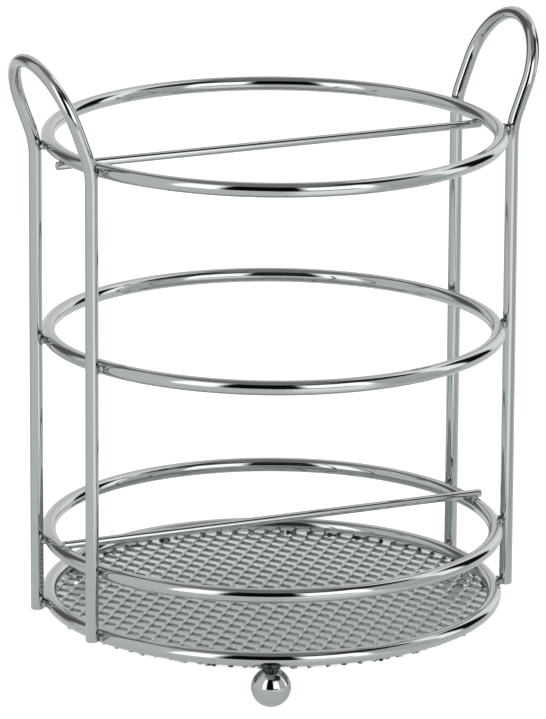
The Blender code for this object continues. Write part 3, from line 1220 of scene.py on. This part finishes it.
    def pooled_glow(self, radii: Array, azimuth: Array) -> Array:
        """White of the floor in metal: painted shade below the holder, plain round it, then in
        painted pools of light and shade.

        Args:
            radii: Distances from the holder's axis, as a column.
            azimuth: Degrees to the right of the camera, as a row.

        Returns:
            The white at each distance and direction.
        """
        depression = -np.degrees(np.arctan(self.pool_height / radii)) + 0 * azimuth
        pooled = self.layered(self.floor_glow, self.pools, azimuth + 0 * radii, depression)
        spread, uncovered = (
            np.clip((radii - start) / breadth, 0, 1)
            for start, breadth in (self.pool_edge, self.painted_shade_edge)
        )
        return mixed(self.painted_shade_glow, mixed(self.floor_glow, pooled, spread), uncovered)

    def build_floor(self) -> None:
        """Lay a plain pale floor, as wide as the views reach.

        The board scatters the light that falls on it, so it keeps the holder's shadow. Where it is
        seen, straight or in metal, white is added, as an overexposed sweep has, but less in a
        painted soft shade behind the holder, and in metal less in a painted shade below it and in
        painted pools of light and shade further out.
        """
        azimuth = np.linspace(-180, 180, self.tent_steps[0], endpoint=False)
        turn = np.radians(azimuth + self.azimuth - 90)
        radii = np.concatenate([np.linspace(*self.floor_radii), self.far_radii])[:, None]
        flat = [radii * np.cos(turn), radii * np.sin(turn), -self.floor_drop + 0 * radii * turn]
        points = np.stack(flat, axis=-1)
        # white: the camera's white with a painted soft shade; glow: metal's white with painted shade
        # and painted pools
        levels = {"white": self.shaded_white(points), "glow": self.pooled_glow(radii, azimuth)}
        floor = self.round_mesh("studio_floor", points, levels, cap=True)
        material = bpy.data.materials.new("matt_white_board")
        tree = bare_tree(material)
        colour = linear_colour(self.floor_colour)
        board = add_node(
            tree,
            "ShaderNodeBsdfPrincipled",
            {"Base Color": colour, "Roughness": 0.9, "Specular IOR Level": 0.1},
        )
        rays = add_node(tree, "ShaderNodeLightPath").outputs
        white, glow = (
            add_node(tree, "ShaderNodeAttribute", {"attribute_name": name}).outputs["Fac"]
            for name in levels
        )
        in_metal = add_node(
            tree, "ShaderNodeMath", {"operation": "MULTIPLY"}, {0: rays["Is Glossy Ray"], 1: glow}
        )
        lift = add_node(
            tree,
            "ShaderNodeMath",
            {"operation": "MULTIPLY_ADD"},
            {0: rays["Is Camera Ray"], 1: white, 2: in_metal.outputs[0]},
        )
        strength = {"Strength": lift.outputs[0]}
        added = add_node(tree, "ShaderNodeEmission", {"Color": WHITE}, strength)
        surfaces = {0: board.outputs["BSDF"], 1: added.outputs["Emission"]}
        both = add_node(tree, "ShaderNodeAddShader", links=surfaces)
        add_node(tree, "ShaderNodeOutputMaterial", links={"Surface": both.outputs["Shader"]})
        floor.data.materials.append(material)

    def build_tent(self) -> None:
        """Hang the tent as a dome, seen in the metal but not by the camera.

        A point of it lies at the tent's radius times the usual sines and cosines of its azimuth,
        counted from the camera's side, and its elevation.
        """
        columns, rows = self.tent_steps
        azimuth = np.linspace(-180, 180, columns, endpoint=False)
        elevation, azimuth = np.meshgrid(
            np.linspace(self.tent_foot, 90, rows + 1), azimuth, indexing="ij"
        )
        glow = self.layered(self.cloth_level, self.cards, azimuth, elevation)
        turn, rise = np.radians(azimuth + self.azimuth - 90), np.radians(elevation)
        ball = [np.cos(rise) * np.cos(turn), np.cos(rise) * np.sin(turn), np.sin(rise)]
        points = self.tent_radius * np.stack(ball, axis=-1)
        tent = self.round_mesh("light_tent", points, {"glow": glow}, cap=False)
        material = bpy.data.materials.new("lit_tent_cloth")
        tree = bare_tree(material)
        level = add_node(tree, "ShaderNodeAttribute", {"attribute_name": "glow"}).outputs["Fac"]
        cloth = add_node(tree, "ShaderNodeEmission", {"Color": WHITE}, {"Strength": level})
        add_node(tree, "ShaderNodeOutputMaterial", links={"Surface": cloth.outputs["Emission"]})
        tent.data.materials.append(material)
        tent.visible_camera = False
        tent.visible_shadow = False

    def build_world(self) -> None:
        """Make the world white where it is seen, also in metal or glass, and softer as a light."""
        world = bpy.data.worlds.new("white_studio")
        bpy.context.scene.world = world
        tree = bare_tree(world)
        rays = add_node(tree, "ShaderNodeLightPath").outputs
        seen = rays["Is Camera Ray"]
        for kind in ("Is Glossy Ray", "Is Transmission Ray"):
            links = {0: seen, 1: rays[kind]}
            seen = add_node(tree, "ShaderNodeMath", {"operation": "MAXIMUM"}, links).outputs[0]
        span = {"To Min": self.world_level, "To Max": 1.0}
        strength = add_node(tree, "ShaderNodeMapRange", span, {"Value": seen}).outputs["Result"]
        light = add_node(tree, "ShaderNodeBackground", {"Color": WHITE}, {"Strength": strength})
        add_node(tree, "ShaderNodeOutputWorld", links={"Surface": light.outputs["Background"]})

    def build_camera(self) -> None:
        """Stand the camera where the photograph was taken from."""
        turn, rise = np.radians(self.azimuth), np.radians(self.elevation)
        back = Vector((np.sin(turn) * np.cos(rise), -np.cos(turn) * np.cos(rise), np.sin(rise)))
        data = bpy.data.cameras.new("photo_camera")
        data.sensor_width = self.sensor
        data.lens = self.focal_length
        data.clip_start = 0.01
        camera = placed("photo_camera", data)
        look = back.to_track_quat("Z", "Y").to_matrix().to_4x4()
        place = Matrix.Translation(Vector((0, 0, self.aim_height)) + self.distance * back)
        camera.matrix_world = place @ look @ Matrix.Rotation(np.radians(self.roll), 4, "Z")
        bpy.context.scene.camera = camera


def main() -> None:
    """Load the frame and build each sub-assembly in order."""
    logging.basicConfig(level=logging.INFO, format="%(name)s: %(message)s")
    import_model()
    places = Heights.from_frame()
    frames = HandleFrames(places)
    holder = [Rings(places), frames, DividerRods(), ExpandedBase(places), BallFeet(places)]
    for assembly in (Studio(), *holder, WeldBeads(places, frames)):
        assembly.build()
        LOG.info("%s is done", type(assembly).__name__)
    bpy.context.view_layer.update()


if __name__ == "__main__":
    main()
